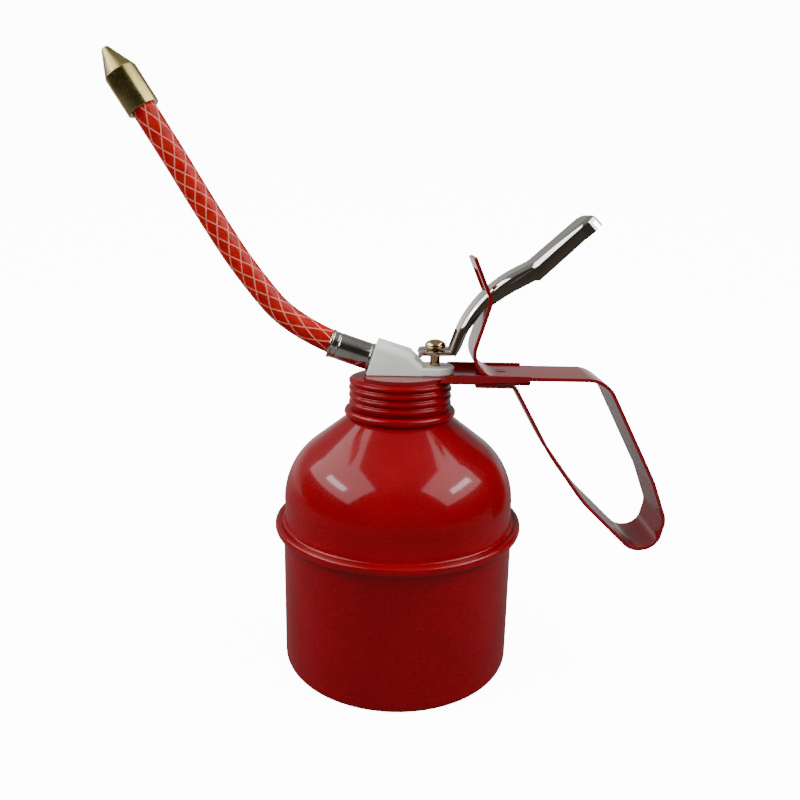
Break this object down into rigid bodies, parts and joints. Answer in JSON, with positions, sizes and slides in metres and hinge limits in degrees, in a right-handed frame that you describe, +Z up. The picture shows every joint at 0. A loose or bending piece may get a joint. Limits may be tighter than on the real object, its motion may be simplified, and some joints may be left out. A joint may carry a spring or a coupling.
{
  "type": "pump oil can",
  "caption": "Hand oiler: round can with a screw cap that carries a strap handle, a thumb lever working a plunger pump, and a flexible braided spout with a tapered nozzle.",
  "frame": {"origin": "centre of the can's flat base, on the surface it stands on", "axes": "+Z up along the can's axis, +X to the handle, -X to the spout, so +Y points away from someone who sees the handle on the right"},
  "size_m": [0.1843, 0.0858, 0.2039],
  "materials": {
    "red_enamel": "glossy red enamel over tinplate",
    "handle_enamel": "glossy red enamel over steel strip",
    "chrome_plate": "bright chrome plate",
    "nickel_sleeve": "nickel plated brass sleeve",
    "brass_turned": "turned brass with fine tool marks",
    "rod_gilt": "polished gilt steel",
    "white_nylon": "moulded white nylon, semi-matte",
    "braided_hose": "clear hose over a red core with a white crossing yarn",
    "black_rubber": "moulded black rubber",
    "zinc_steel": "zinc plated steel"
  },
  "bodies": {
    "can": {"lower_can": "red_enamel", "upper_dome": "red_enamel", "threaded_neck": "red_enamel"},
    "gasket": {"cap_gasket": "black_rubber"},
    "head": {"screw_cap": "red_enamel", "bracket": "handle_enamel", "handle_strap": "handle_enamel", "strap_rivet": "handle_enamel", "pump_body": "white_nylon", "seat_screws": "zinc_steel", "rod_seal": "black_rubber", "seal_washer": "zinc_steel", "pump_barrel": "brass_turned", "foot_valve": "brass_turned", "ball_stop": "zinc_steel", "suction_tube": "zinc_steel", "strainer": "brass_turned", "return_spring": "zinc_steel", "hose_spigot": "nickel_sleeve", "ferrule": "nickel_sleeve", "hose": "braided_hose", "nozzle": "brass_turned"},
    "plunger": {"piston_rod": "rod_gilt", "piston": "brass_turned", "piston_cup": "black_rubber"},
    "ball": {"foot_ball": "zinc_steel"},
    "lever": {"lever": "chrome_plate"}
  },
  "joints": [
    {"name": "cap_lift", "type": "slide", "parent": "can", "child": "gasket", "axis": [0, 0, 1], "range_m": [0, 0.0075]},
    {"name": "cap_turn", "type": "hinge", "parent": "gasket", "child": "head", "pos_m": [0, 0, 0.1], "axis": [0, 0, 1], "range_deg": [0, 1080]},
    {"name": "lever_press", "type": "hinge", "parent": "head", "child": "lever", "pos_m": [0.02794, 0, 0.127], "axis": [0, 1, 0], "range_deg": [0, 18], "stiffness_Nm_per_rad": 0.06, "springref_deg": -45.84},
    {"name": "plunger_lift", "type": "slide", "parent": "head", "child": "plunger", "axis": [0, 0, 1], "range_m": [0, 0.005], "deforming": ["return_spring"]},
    {"name": "ball_lift", "type": "slide", "parent": "head", "child": "ball", "axis": [0, 0, 1], "range_m": [0, 0.0009]}
  ],
  "couplings": [
    {"joint": "cap_turn", "follows": "cap_lift", "rad_per_m": 2513.3},
    {"joint": "plunger_lift", "follows": "lever_press", "m_per_rad": 0.015585}
  ]
}
